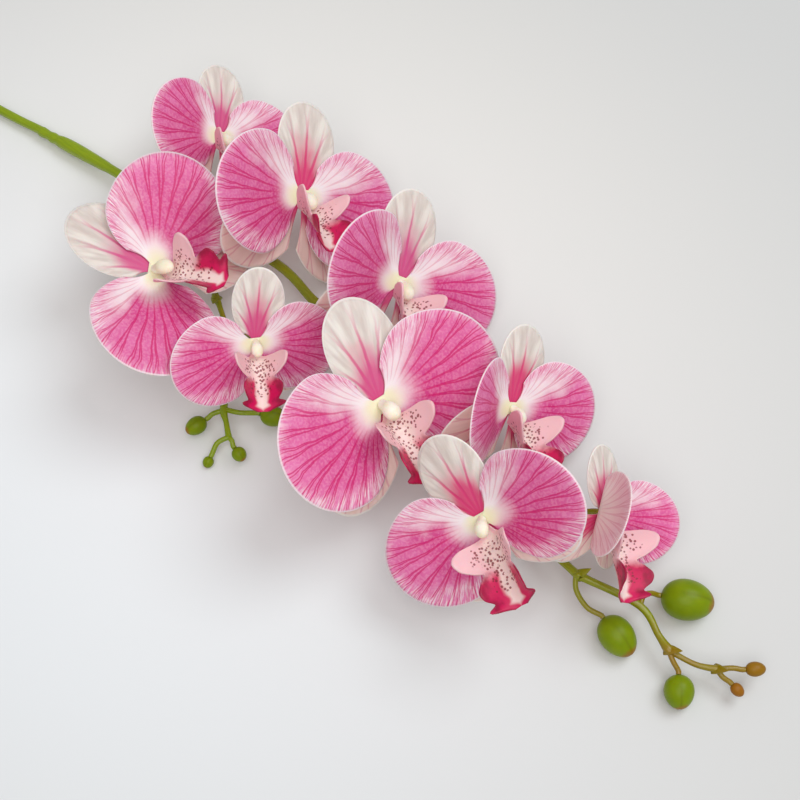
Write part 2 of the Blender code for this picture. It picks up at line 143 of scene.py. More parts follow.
# The stems: points in millimetres with the radius there. The short steps are knots.
MAIN_STEM = (
    (-400, -2, 2.3, 2.3), (-340, 4.2, 2.8, 2.3), (-273, 11.8, 4, 2.3), (-251, 15, 4.8, 2.3),
    (-247, 15.3, 5, 2.8), (-243, 15.7, 5.2, 2.4), (-240, 16, 5.4, 2.9), (-237.5, 16.3, 5.6, 2.6),
    (-235, 16.6, 5.8, 3.2), (-229, 17.3, 6.2, 3.5), (-220, 18.1, 6.9, 3.4), (-207, 19.1, 8, 2.9),
    (-204, 19.3, 8.3, 2.6), (-193, 20, 9.2, 2.5), (-144, 23.4, 13, 2.4), (-99, 28, 15, 2.4),
    (-74, 24, 15, 2.4), (-66, 22.5, 15.8, 3.2),
    (-62, 21.5, 16, 2.5), (-8, 10, 12.5, 2.3), (46, 0, 12, 2.1), (103, -7.5, 15.4, 1.9),
    (107, -8, 16, 2.9), (111, -7, 15.5, 1.9), (136, -1, 12, 1.8), (150, -6.5, 11, 1.6),
    (157, -9, 11, 2.3), (160, -8.8, 11, 1.4), (170, -7, 11, 1.3), (178, -3, 11, 1.7),
)
SIDE_STEM = (
    (-143, 23.4, 13.1, 1.4), (-127, 8, 13.2, 1.5), (-114, -1, 13, 1.4), (-110, -4, 13, 2.3),
    (-106, -6, 13, 1.4), (-90, -17, 12, 1.4), (-80, -30, 10, 1.4), (-70, -44, 9, 1.9),
    (-65, -48, 8.6, 1.3), (-59, -53, 8, 1.6),
)

# The stalks' fineness: steps between two points of a route, the length of a ring and the height
# of the skin's unevenness in metres, and sides.
LINE_STEPS = 6
STALK_STEP = 0.0012
UNEVENNESS = 0.00008
STALK_SIDES = 20

# Each bloom's pedicel: where it leaves a stem and the knee that it bends round. It widens by
# PEDICEL_FLARE to its end, and its last piece runs straight out of the bloom's back.
PEDICEL_RADIUS = 1.25
PEDICEL_FLARE = 0.5
PEDICEL_STRAIGHT = 9.0
PEDICEL_END = 2.5
PEDICEL_STEPS = 5
PEDICEL_ROUTES = (
    ((-190, 20.2, 9.4), (-182, 40, 12)), ((-158, 22.4, 11.9), (-150, 0, 17)),
    ((-130, 24.8, 13.7), (-122, 42, 17.5)), ((-66, 22.5, 15.8), (-58, 35, 20)),
    ((-91, -16, 12), (-84, -18, 24)), ((-34, 15.5, 14.2), (-24, 2, 24)),
    ((18, 5.5, 12.3), (33, 46, 14)), ((54, -1, 12), (56, -4, 28)), ((80, -5, 13.5), (87, 5.3, 22)),
)

# One bud: its middle, the way its tip points, its length and width, and its pedicel's route.
Bud = namedtuple("Bud", "middle points_to length width pedicel")
BUDS = (
    Bud((136, -17, 7.5), (1, -0.25, -0.15), 20, 15.6, ((106, -8, 16), (110, -13, 13), (118, -15.5, 10))),
    Bud((150.5, 15.5, 8.7), (1, 0.55, 0), 23.5, 18.6, ((136, -1, 12), (134.5, 4, 12), (136.5, 7.5, 10.5))),
    Bud((171, -20, 6.4), (0.6, -0.75, -0.2), 15, 13.4, ((157, -9, 11), (161, -11.5, 10))),
    Bud((191, 7.5, 11), (0.75, 0.65, 0), 8.9, 6.6, ((178, -3, 11), (183, 1.5, 11.4))),
    Bud((190, -4, 8), (1, -0.1, -0.25), 6.7, 5.4, ((178, -3, 11), (182, -4, 10))),
    Bud((-75, -58, 7), (-0.3, -1, -0.1), 10.7, 8.5, ((-70, -45, 9), (-72.5, -49, 8.5))),
    Bud((-60, -67, 2.6), (0.15, -0.9, -0.45), 5.6, 5.2, ((-59, -53, 8), (-61.5, -58, 7))),
    Bud((-50, -56, 6.5), (1, -0.25, -0.1), 7.2, 6.8, ((-59, -53, 8), (-56.5, -53.5, 8))),
    Bud((-50, -32, 8), (0.9, 0.45, 0), 12.5, 10, ((-70, -44, 9), (-63, -41, 9.5))),
)
BUD_TAPER = 0.08
BUD_PEDICEL_END = 1.5
BUD_AROUND = 48
BUD_ALONG = 32
BUD_SEAMS = 3
BUD_SEAM = 0.04
BUD_SEAM_SHARPNESS = 16
BUD_LOWEST = 0.02
BROWN_BUDS = {4: 0.85, 5: 1.0}

# The bracts, small scales at the knots: where each stands and the way its point goes.
BRACTS = (
    ((-66, 22.5, 15.8), (0.9, 0.45, 0.6)), ((-110, -4, 13), (0.4, -0.7, 0.7)),
    ((107, -8, 16), (0.5, 0.7, 0.7)), ((157, -9, 11), (0.9, 0.3, 0.8)), ((178, -3, 11), (0.7, 0.1, 0.9)),
)
BRACT_LENGTH = 9.0
BRACT_RADIUS = 2.6
BRACT_FLATNESS = 0.45
BRACT_TAPER = 1.6
BRACT_POINT = 0.12
BRACT_SUNK = 0.2
BRACT_ROWS = 10
BRACT_SIDES = 20

# The view: the eye and what it looks at, in the spray's frame, and the lights, in metres from
# what the eye looks at.
VIEW_EYE = (184.04, -227.27, 667.17)
VIEW_TARGET = (0, 0, 40)
VIEW_LENS = 70.0
VIEW_SENSOR = 36.0
VIEW_NEAREST = 0.01
Lamp = namedtuple("Lamp", "name place size power colour")
LAMPS = (
    Lamp("window light", (0.45, 0.95, 1.9), 1.4, 18.5, (0.94, 0.975, 1.0)),
    Lamp("fill light", (0.4, -0.6, 1.7), 1.6, 14.6, (1.0, 0.95, 0.925)),
)
ROOM_LIGHT = 0.45
ROOM_COLOUR = (1.0, 0.945, 0.925, 1.0)

# The floor: half its side, and the middle of its palest part, where its painted light is brightest, in
# metres.
FLOOR_HALF = 3.0
FLOOR_LIT_MIDDLE = (-0.01, -0.07, 0.0)

# The height of the bumps on a skin, in metres.
SKIN_RELIEF = 0.0004

# The veins: how many to each side, where they fork along the blade, how wide they are in
# millimetres, how far they wander, and how wide the blade spreads at its edge.
PETAL_VEINS = {
    "Count": 8.0, "First Fork": 0.12, "Second Fork": 0.42, "Width": 0.6, "Wander": 0.26, "Spread": 62.0,
}
SEPAL_VEINS = {
    "Count": 3.0, "First Fork": 0.5, "Second Fork": 1.1, "Width": 1.25, "Wander": 0.12, "Spread": 40.0,
}

# Colours as the screen shows them, from 0 to 255.
PETAL_DEEP = (210, 66, 138)
PETAL_LIGHT = (228, 120, 176)
PETAL_SPECKS = (239, 170, 202)
PETAL_FOOT = (244, 226, 230)
PETAL_WHITE = (247, 238, 241)
PETAL_VEIN = (204, 6, 106)
PETAL_CLAW = (240, 236, 198)
PETAL_RIM = (250, 240, 244)
PETAL_BACK = (250, 232, 228)
PETAL_BACK_VEIN = (214, 92, 150)
SEPAL_SHADED = (206, 196, 189)
SEPAL_WHITE = (232, 227, 220)
SEPAL_LIT_BLUSH = (246, 214, 206)
SEPAL_VEIN = (208, 92, 140)
SEPAL_MAUVE = (206, 66, 132)
SEPAL_MAGENTA = (211, 20, 106)
SEPAL_RIM = (246, 241, 236)
SEPAL_BACK = (236, 216, 208)
LIP_PINK = (242, 196, 202)
LIP_PALE = (243, 218, 214)
LIP_CRIMSON = (206, 6, 88)
LIP_EDGE_SHADE = (132, 0, 48)
LIP_DOT = (128, 22, 44)
COLUMN_CREAM = (238, 234, 204)
COLUMN_WHITE = (249, 246, 230)
STEM_GREEN = (112, 138, 0)
STEM_YELLOW = (148, 170, 0)
STEM_OLIVE = (142, 106, 8)
BUD_GREEN = (102, 128, 0)
BUD_YELLOW = (132, 152, 0)
BUD_CREASE_SHADE = (84, 88, 6)
BUD_BROWN = (150, 98, 20)
# The floor's painted light: a cool and a warm tint for the light from either side, and a painted shade for
# its darker part far from the blooms.
FLOOR_COOL_LIT = (231.11, 238.0, 242.25)
FLOOR_WARM_LIT = (240.44, 239.83, 234.9)
FLOOR_FAR_SHADE = (205.97, 209.06, 209.06)


def spray_frame(point):
    """A place of the spray in the row's frame, in metres."""
    return (Vector(point) + SHIFT) * MM


def bloom_matrix(bloom):
    """The bloom's frame: x to its right, y to its top sepal, z out of its face."""
    around, up = FACING_AROUND, FACING_UP
    right = Vector((math.cos(around), math.sin(around), 0))
    out = Vector((math.sin(around) * math.cos(up), -math.cos(around) * math.cos(up), math.sin(up)))
    common = Matrix((right, out.cross(right), out)).transposed()
    own = (Matrix.Rotation(math.radians(bloom.turn), 3, "Y")
           @ Matrix.Rotation(math.radians(-bloom.tip), 3, "X")
           @ Matrix.Rotation(math.radians(bloom.roll), 3, "Z"))
    return Matrix.Translation(bloom.claw) @ (common @ own).to_4x4()


def curl(distance, arc, angle):
    """Where a strip reaches that turns up through an angle along an arc, then runs straight."""
    if abs(angle) < STRAIGHT:
        return distance, 0.0
    radius = arc / angle
    turned = min(distance, arc) / radius
    rest = max(0.0, distance - arc)
    return (radius * math.sin(turned) + rest * math.cos(turned),
            radius * (1 - math.cos(turned)) + rest * math.sin(turned))


def blade_point(blade, s, t, lean):
    """A point of a blade: s runs from claw to edge, t from -1 at one side to 1 at the other."""
    angle = t * math.radians(blade.reach)
    reach = blade.widest if abs(angle) > math.pi / 2 else 1 - blade.widest
    half = blade.upper if t > 0 else blade.lower
    start = Vector((0, blade.claw * t))
    end = Vector((blade.length * (blade.widest + reach * math.cos(angle)), half * math.sin(angle)))
    end *= DRAWN_IN
    ray = end - start
    heading = RAY_START * math.atan2(ray.y, ray.x)
    middle = start + 0.5 * ray.length * Vector((math.cos(heading), math.sin(heading)))
    flat = (1 - s) ** 2 * start + 2 * s * (1 - s) * middle + s * s * end
    back = -(blade.bend * flat.x ** 2 + blade.cross * flat.y ** 2) / blade.length ** 2
    bent = math.radians(lean) * min(1.0, flat.x / (CURL * blade.length))
    along, up = curl(flat.x, CURL * blade.length, math.radians(lean))
    along += blade.foot - back * math.sin(bent)
    return Vector((along, flat.y, up + back * math.cos(bent)))


# A grid of places, with where each lies across and along its blade, and how warm its skin is: the side
# sepals' blush, which is also painted light that lightens them.
Sheet = namedtuple("Sheet", "rows marks blush")


def blade_sheet(blade, bloom, grid, lean, turn, level, mirrored=False, blush=0.0):
    """A fine blade in the bloom's frame, in millimetres."""
    rings, spokes = grid
    spin = Matrix.Rotation(math.radians(turn), 3, "Z")
    flip = Vector((-1 if mirrored else 1, 1, 1))
    rows, marks = [], []
    for i in range(rings + 1):
        s = i / rings
        row, mark = [], []
        for j in range(spokes + 1):
            t = 2 * j / spokes - 1
            point = (spin @ blade_point(blade, s, t, lean)) * flip * bloom.span
            wave = WAVE * s * s * math.sin(WAVE_TURNS * t + bloom.roll + turn + lean)
            row.append(point + Vector((0, 0, level + wave * bloom.span)))
            mark.append((0.5 + 0.5 * t, s))
        rows.append(row[::-1] if mirrored else row)
        marks.append(mark[::-1] if mirrored else mark)
    return Sheet(rows, marks, blush)


def between_points(points, k, t):
    """A place on the smooth line through the points, between point k-1 and point k."""
    before, start = Vector(points[max(k - 2, 0)]), Vector(points[k - 1])
    end, after = Vector(points[k]), Vector(points[min(k + 1, len(points) - 1)])
    bend = (end - before) * t + (2 * before - 5 * start + 4 * end - after) * t ** 2
    bend += (3 * start - before - 3 * end + after) * t ** 3
    return start + 0.5 * bend


def profile_at(profile, place):
    """The profile's values at a place along it, on a smooth line through the given ones."""
    k = 1
    while k < len(profile) - 1 and profile[k][0] < place:
        k += 1
    start, end = profile[k - 1][0], profile[k][0]
    return between_points(profile, k, (place - start) / (end - start))


def lip_sheet(bloom):
    """The fine lip: claw, side lobes, a trough with wings, and a horn to each side near the end."""
    length, forward = bloom.lip
    below, front = LIP_FOOT
    down = Vector((0, -math.cos(math.radians(forward)), math.sin(math.radians(forward))))
    out = Vector((0, down.z, -down.y))
    across = [2 * j / LIP_COLUMNS - 1 for j in range(LIP_COLUMNS + 1)]
    claw_half, claw_below, claw_front = LIP_CLAW
    rows = [[Vector((claw_half * t, -claw_below, claw_front)) * bloom.span for t in across]]
    marks = [[(0.5 + 0.5 * t, 0.0) for t in across]]
    steps = LIP_STEPS * (len(LIP_PROFILE) - 1)
    for i in range(steps + 1):
        along = i / steps
        _, half, lift, sweep = profile_at(LIP_PROFILE, along)
        row, mark = [], []
        for t in across:
            aside, rise = curl(half * abs(t), LIP_CREASE, math.radians(lift))
            rise += LIP_ARCH * along * (1 - along) + LIP_CUP * half * t ** 4
            off = ((along - CALLUS_ALONG) / CALLUS_LENGTH, t / CALLUS_WIDTH)
            rise += CALLUS * math.exp(-off[0] ** 2 - off[1] ** 2)
            point = Vector((math.copysign(aside, t), 0, 0))
            point += down * (along + sweep * aside) + out * rise
            row.append(point * length + Vector((0, -below, front)))
            mark.append((0.5 + 0.5 * t, LIP_CLAW_SHARE + (1 - LIP_CLAW_SHARE) * along))
        rows.append(row)
        marks.append(mark)
    return Sheet(rows, marks, 0.0)


def sheet_normals(rows):
    """An average direction out of a grid at each of its places."""
    normals = []
    for i, row in enumerate(rows):
        line = []
        for j, _ in enumerate(row):
            down = rows[min(i + 1, len(rows) - 1)][j] - rows[max(i - 1, 0)][j]
            aside = row[min(j + 1, len(row) - 1)] - row[max(j - 1, 0)]
            line.append(aside.cross(down).normalized())
        normals.append(line)
    return normals


def petal_thickness(s):
    """Full at the claw, thin at the edge, in millimetres."""
    return THICKNESS * (1 - EDGE_THINNING * s * s)


def placed(name, data):
    """A new object in the scene for a mesh, a curve, a light or a camera."""
    item = bpy.data.objects.new(name, data)
    bpy.context.scene.collection.objects.link(item)
    return item


def new_piece(name, bm, look):
    """A smooth object from a bmesh in millimetres of the spray's frame, brought to metres."""
    for vert in bm.verts:
        vert.co = spray_frame(vert.co)
    mesh = bpy.data.meshes.new(name)
    bm.to_mesh(mesh)
    bm.free()
    mesh.shade_smooth()
    mesh.materials.append(look)
    return placed(name, mesh)


def raised_sheet(bm, sheet, frame, side, warm, mark_of):
    """The front and the back of one sheet, as two grids of vertices."""
    normals = sheet_normals(sheet.rows)
    sign = 1 if normals[len(normals) // 2][len(normals[0]) // 2].z > 0 else -1
    front_grid, back_grid = [], []
    for i, row in enumerate(sheet.rows):
        front_row, back_row = [], []
        for j, point in enumerate(row):
            mark = sheet.marks[i][j]
            front = bm.verts.new(frame @ point)
            back = bm.verts.new(frame @ (point - sign * petal_thickness(mark[1]) * normals[i][j]))
            front[side] = 1.0
            back[side] = 0.0
            front[warm] = back[warm] = sheet.blush
            mark_of[front] = mark_of[back] = mark
            front_row.append(front)
            back_row.append(back)
        front_grid.append(front_row)
        back_grid.append(back_row)
    return front_grid, back_grid


def close_hub(bm, fronts, backs, side, mark_of):
    """Faces over the hub between sheets, front and back, and between one sheet and the next."""
    for grids in (fronts, backs):
        rim = [vert for grid in grids for vert in grid[0]]
        centre = bm.verts.new(sum((vert.co for vert in rim), Vector()) / len(rim))
        centre[side] = rim[0][side]
        mark_of[centre] = (0.5, 0.0)
        for a, b in zip(rim, rim[1:] + rim[:1]):
            bm.faces.new((a, b, centre))
    for k, (front, back) in enumerate(zip(fronts, backs)):
        beside = (k + 1) % len(fronts)
        bm.faces.new((front[0][-1], fronts[beside][0][0], backs[beside][0][0], back[0][-1]))


def moulded_layer(name, sheets, frame, look):
    """Sheets round a small hub, front, back and rim, with their markings in a UV map."""
    bm = bmesh.new()
    uv = bm.loops.layers.uv.new("markings")
    side = bm.verts.layers.float.new("front")
    warm = bm.verts.layers.float.new("blush")
    fronts, backs, mark_of = [], [], {}
    alone = len(sheets) == 1
    for sheet in sheets:
        front, back = raised_sheet(bm, sheet, frame, side, warm, mark_of)
        fronts.append(front)
        backs.append(back)
        add_grid(bm, front)
        add_grid(bm, back)
        front_edge, back_edge = edge_of(front, alone), edge_of(back, alone)
        for a, b, c, d in zip(front_edge, front_edge[1:], back_edge[1:], back_edge):
            bm.faces.new((a, b, c, d))
    if not alone:
        close_hub(bm, fronts, backs, side, mark_of)
    bmesh.ops.recalc_face_normals(bm, faces=bm.faces)
    for face in bm.faces:
        for loop in face.loops:
            loop[uv].uv = mark_of[loop.vert]
    return new_piece(name, bm, look)


def add_grid(bm, grid):
    """Quads through a grid of vertices."""
    for near, far in zip(grid, grid[1:]):
        for a, b, c, d in zip(near, far, far[1:], near[1:]):
            bm.faces.new((a, b, c, d))


def edge_of(grid, closed):
    """The grid's edge round from one end of the first row to its other end, or all the way."""
    down_right = [row[-1] for row in grid]
    up_left = [row[0] for row in grid][::-1]
    edge = down_right + grid[-1][::-1][1:] + up_left[1:]
    if closed:
        edge += grid[0][1:]
    return edge


def wrap_rings(bm, rings):
    """Quads round closed rings of vertices, from each ring to the next."""
    added = []
    for low, high in zip(rings, rings[1:]):
        for a, b, c, d in zip(low, low[1:] + low[:1], high[1:] + high[:1], high):
            added.append(bm.faces.new((a, b, c, d)))
    return added


class Net:
    """Adds nodes to a tree and wires them as they are added."""

    def __init__(self, tree):
        self.tree = tree

    def add(self, kind, sockets=None, **settings):
        node = self.tree.nodes.new(kind)
        for name, value in settings.items():
            setattr(node, name, value)
        for name, value in (sockets or {}).items():
            self.feed(node.inputs[name], value)
        return node

    def feed(self, socket, value):
        if isinstance(value, bpy.types.NodeSocket):
            self.tree.links.new(value, socket)
        else:
            socket.default_value = value

    def sum_up(self, operation, *values):
        """One Math node; its inputs have one name, so they are told apart by place."""
        node = self.add("ShaderNodeMath", operation=operation)
        for place, value in enumerate(values):
            self.feed(node.inputs[place], value)
        return node.outputs[0]

    def times(self, value, factor):
        return self.sum_up("MULTIPLY", value, factor)

    def times_plus(self, value, factor, more):
        """The value times the factor, and more added."""
        return self.sum_up("MULTIPLY_ADD", value, factor, more)

    def rest_of(self, value):
        """What the value lacks to be 1."""
        return self.sum_up("SUBTRACT", 1.0, value)

    def rise(self, value, low, high):
        """From 0 at low to 1 at high, smooth between; it falls where low is over high."""
        node = self.add("ShaderNodeMapRange", interpolation_type="SMOOTHSTEP")
        for place, number in enumerate((value, low, high, 0.0, 1.0)):
            self.feed(node.inputs[place], number)
        return node.outputs[0]

    def tint(self, share, under, over):
        """The colour over laid on the colour under by a share; a plain colour is a screen colour."""
        node = self.add("ShaderNodeMix", data_type="RGBA")
        self.feed(node.inputs[0], share)
        for place, colour in ((6, under), (7, over)):
            self.feed(node.inputs[place], screen_colour(*colour) if isinstance(colour, tuple) else colour)
        return node.outputs[2]

    def noise(self, where, scale, detail=2.0):
        node = self.add("ShaderNodeTexNoise", {"Vector": where, "Scale": scale, "Detail": detail})
        return node.outputs["Fac"]

    def swing(self, where, scale, detail=2.0):
        """Noise to both sides of 0."""
        return self.sum_up("SUBTRACT", self.noise(where, scale, detail), 0.5)

    def streaks(self, across, fineness, along, shortness):
        """Noise drawn out along a blade: finer across than along."""
        at = self.add("ShaderNodeCombineXYZ", {
            "X": self.times(across, fineness), "Y": self.times(along, shortness)})
        return self.noise(at.outputs[0], 1.0, 3.0)

    def attribute(self, name):
        return self.add("ShaderNodeAttribute", attribute_name=name).outputs["Fac"]

    def split(self, vector):
        return self.add("ShaderNodeSeparateXYZ", {"Vector": vector}).outputs


def screen_colour(red, green, blue):
    """A colour given as the screen shows it, 0 to 255, as linear light."""
    def linear(value):
        value /= 255
        return value / 12.92 if value <= 0.04045 else ((value + 0.055) / 1.055) ** 2.4
    return (linear(red), linear(green), linear(blue), 1.0)


def new_group(name, inputs, outputs, kind="ShaderNodeTree"):
    """A node group with named inputs, each with its first value, and named outputs."""
    tree = bpy.data.node_groups.new(name, kind)
    for label, holds, value in inputs:
        socket = tree.interface.new_socket(label, in_out="INPUT", socket_type="NodeSocket" + holds)
        if value is not None:
            socket.default_value = value
    for label, holds in outputs:
        tree.interface.new_socket(label, in_out="OUTPUT", socket_type="NodeSocket" + holds)
    net = Net(tree)
    return tree, net, net.add("NodeGroupInput").outputs, net.add("NodeGroupOutput").inputs


def forked_veins():
    """Veins that fan out from the claw and fork twice on their way to the edge."""
    tree, net, given, out = new_group("forked veins", (
        ("Markings", "Vector", None), ("Place", "Vector", None),
        *((label, "Float", value) for label, value in PETAL_VEINS.items()),
    ), [(label, "Float") for label in ("Veins", "Across", "Along")])
    parts = net.split(given["Markings"])
    across = net.times_plus(parts["X"], 2.0, -1.0)
    along = parts["Y"]
    broad = net.swing(given["Place"], 70.0)
    small = net.swing(given["Place"], 330.0)
    bent = net.times_plus(small, 0.14, broad)
    bent = net.times(net.times(bent, given["Wander"]), 2.0)
    line = net.times_plus(across, given["Count"], bent)
    cell = net.sum_up("ROUND", line)
    off = net.sum_up("ABSOLUTE", net.sum_up("SUBTRACT", line, cell))
    chance = net.add("ShaderNodeTexWhiteNoise", {"W": cell}, noise_dimensions="1D").outputs["Value"]
    for fork, luck, end, share in (("First Fork", 0.25, 1.25, 0.25), ("Second Fork", 0.2, 1.3, 0.125)):
        start = net.times_plus(chance, luck, given[fork])
        apart = net.times(net.rise(along, start, end), share)
        off = net.sum_up("ABSOLUTE", net.sum_up("SUBTRACT", off, apart))
    room = net.times(net.times_plus(along, 0.9, 0.06), given["Spread"])
    distance = net.times(off, net.sum_up("DIVIDE", room, given["Count"]))
    wide = net.times(given["Width"], net.times_plus(along, -0.6, 1.15))
    thin = net.times(wide, 0.2)
    net.feed(out["Veins"], net.rest_of(net.rise(distance, thin, wide)))
    net.feed(out["Across"], across)
    net.feed(out["Along"], along)
    return tree


def fine_grain():
    """A shallow unevenness for skins: broad waves with a fine grain on them."""
    tree, net, given, out = new_group("fine grain", (
        ("Place", "Vector", None), ("Broad Scale", "Float", 150.0),
        ("Fine Scale", "Float", 1800.0), ("Fine Share", "Float", 0.3),
    ), (("Height", "Float"),))
    broad = net.noise(given["Place"], given["Broad Scale"], 3.0)
    fine = net.noise(given["Place"], given["Fine Scale"], 2.0)
    net.feed(out["Height"], net.times_plus(fine, given["Fine Share"], broad))
    return tree


def start_look(name, roughness):
    """A new material with its shader and its Object coordinates ready."""
    look = bpy.data.materials.new(name)
    look.use_nodes = True
    net = Net(look.node_tree)
    shader = look.node_tree.nodes["Principled BSDF"]
    shader.inputs["Roughness"].default_value = roughness
    return look, net, shader, net.add("ShaderNodeTexCoord").outputs["Object"]


def markings_of(net):
    """Where a point lies on its piece: across from 0 to 1, and along from 0 to 1."""
    return net.add("ShaderNodeUVMap", uv_map="markings").outputs["UV"]


def group_node(net, tree, sockets):
    node = net.add("ShaderNodeGroup", node_tree=tree)
    for name, value in sockets.items():
        net.feed(node.inputs[name], value)
    return node.outputs


def finish_skin(net, shader, colour, height, bump, softness, shine, depth=0.002):
    """A skin's colour and bumps, how much light goes into it and how deep, and its shine."""
    net.feed(shader.inputs["Base Color"], colour)
    relief = net.add("ShaderNodeBump", {"Height": height, "Strength": bump, "Distance": SKIN_RELIEF})
    net.feed(shader.inputs["Normal"], relief.outputs["Normal"])
    shader.inputs["Subsurface Weight"].default_value = softness
    shader.inputs["Subsurface Scale"].default_value = depth
    shader.inputs["Specular IOR Level"].default_value = shine


def petal_pink(net, place, along, blotch):
    """Mottled pink, paler towards the edge, with fine light specks."""
    cloud = net.rise(net.noise(place, 95.0, 3.0), 0.3, 0.7)
    depth = net.rise(net.times_plus(blotch, 0.4, along), 0.4, 0.95)
    cloud = net.times_plus(depth, 0.55, net.times(cloud, 0.45))
    specks = net.times(net.rise(net.noise(place, 850.0, 2.0), 0.4, 0.64), 0.3)
    return net.tint(specks, net.tint(cloud, PETAL_DEEP, PETAL_LIGHT), PETAL_SPECKS)


def petal_white(net, place, across, along, blotch):
    """How white a petal is on its side towards the top sepal, and in the streaks at its edge."""
    streak = net.streaks(across, 95.0, along, 6.0)
    flower = net.swing(place, 14.0, 1.0)
    upper = net.times_plus(flower, 0.55, net.times_plus(blotch, 0.5, across))
    upper = net.rise(upper, 0.27, 0.58)
    fringe = net.times(net.rise(along, 0.5, 0.95), net.rise(streak, 0.66, 0.46))
    upper = net.times(upper, net.times_plus(fringe, -0.7, 1.0))
    streaked = net.times_plus(net.rise(streak, 0.42, 0.58), 0.8, 0.1)
    lower = net.rise(across, 0.1, -0.7)
    outer = net.times_plus(lower, 0.24, net.times_plus(blotch, 0.3, along))
    return upper, net.times(net.rise(outer, 0.86, 1.1), streaked)


def petal_look(veins, grain):
    """Pink between forked magenta veins, cream at the claw, white at the upper side and the edge."""
    look, net, shader, place = start_look("petal skin", 0.5)
    vein = group_node(net, veins, {"Markings": markings_of(net), "Place": place, **PETAL_VEINS})
    across, along = vein["Across"], vein["Along"]
    blotch = net.swing(place, 55.0)
    upper, edge = petal_white(net, place, across, along, blotch)
    inner = net.times_plus(across, -0.08, net.times_plus(blotch, 0.25, along))
    colour = net.tint(net.rise(inner, 0.1, 0.35), PETAL_FOOT, petal_pink(net, place, along, blotch))
    colour = net.tint(net.times(upper, 0.85), colour, PETAL_WHITE)
    strength = net.times(vein["Veins"], net.rise(along, 0.16, 0.42))
    strength = net.times(strength, net.rest_of(net.times(upper, 0.6)))
    strength = net.times(strength, net.rest_of(net.times(edge, 0.55)))
    colour = net.tint(net.times(edge, 0.8), colour, PETAL_WHITE)
    colour = net.tint(net.times(strength, 0.78), colour, PETAL_VEIN)
    claw = net.rest_of(net.rise(net.times_plus(blotch, 0.1, along), 0.03, 0.2))
    colour = net.tint(net.times(claw, 0.9), colour, PETAL_CLAW)
    colour = net.tint(net.times(net.rise(along, 0.98, 0.995), 0.8), colour, PETAL_RIM)
    behind = net.rest_of(net.attribute("front"))
    paler = net.times_plus(net.rise(along, 0.35, 0.95), -0.36, 0.9)
    colour = net.tint(net.times(behind, paler), colour, PETAL_BACK)
    colour = net.tint(net.times(behind, net.times(strength, 0.3)), colour, PETAL_BACK_VEIN)
    skin = group_node(net, grain, {"Place": place})
    height = net.sum_up("SUBTRACT", skin["Height"], net.times(vein["Veins"], 0.12))
    finish_skin(net, shader, colour, height, bump=0.4, softness=0.12, shine=0.3)
    return look


def sepal_look(veins, grain):
    """Off-white with lengthwise veins and a magenta flush that streaks out from the foot."""
    look, net, shader, place = start_look("sepal skin", 0.5)
    vein = group_node(net, veins, {"Markings": markings_of(net), "Place": place, **SEPAL_VEINS})
    across, along = vein["Across"], vein["Along"]
    streak = net.streaks(across, 9.0, along, 2.0)
    cloud = net.swing(place, 60.0)
    reach = net.times_plus(net.times(across, across), 0.14, along)
    reach = net.times_plus(streak, -0.34, reach)
    reach = net.times_plus(vein["Veins"], -0.11, reach)
    reach = net.times_plus(cloud, 0.4, reach)
    flush = net.rest_of(net.rise(reach, 0.1, 0.56))
    blush = net.attribute("blush")
    colour = net.tint(net.rise(streak, 0.3, 0.7), SEPAL_SHADED, SEPAL_WHITE)
    # The side sepals' warm blush, partly real pink and partly painted light that lightens them against the
    # shade they lie in.
    colour = net.tint(net.times(blush, 0.7), colour, SEPAL_LIT_BLUSH)
    fade = net.rest_of(net.rise(along, 0.55, 1.0))
    strength = net.times(vein["Veins"], net.sum_up("MAXIMUM", fade, net.times(blush, 0.8)))
    colour = net.tint(net.times(strength, 0.5), colour, SEPAL_VEIN)
    flower = net.rise(net.noise(place, 14.0, 1.0), 0.4, 0.58)
    flushed = net.tint(flower, SEPAL_MAUVE, SEPAL_MAGENTA)
    colour = net.tint(net.times(flush, 0.9), colour, flushed)
    colour = net.tint(net.rise(along, 0.97, 0.99), colour, SEPAL_RIM)
    behind = net.rest_of(net.attribute("front"))
    colour = net.tint(net.times(behind, 0.6), colour, SEPAL_BACK)
    skin = group_node(net, grain, {"Place": place})
    height = net.sum_up("SUBTRACT", skin["Height"], net.times(vein["Veins"], 0.5))
    finish_skin(net, shader, colour, height, bump=0.4, softness=0.12, shine=0.3)
    return look


def lip_dots(net, place, along, aside):
    """Scattered small dots, dense in the trough and fading out towards the sides and the tip."""
    dots = net.add("ShaderNodeTexVoronoi", {"Vector": place, "Scale": 700.0})
    size = net.rest_of(net.rise(dots.outputs["Distance"], 0.32, 0.48))
    keep = net.add("ShaderNodeSeparateColor", {"Color": dots.outputs["Color"]}).outputs[0]
    band = net.times(net.rise(along, 0.08, 0.18), net.rest_of(net.rise(along, 0.66, 0.8)))
    band = net.times(band, net.rest_of(net.rise(aside, 0.45, 0.75)))
    shown = net.rise(net.times_plus(band, 0.62, keep), 0.78, 0.86)
    return net.times(net.times(size, shown), net.rise(band, 0.02, 0.2))


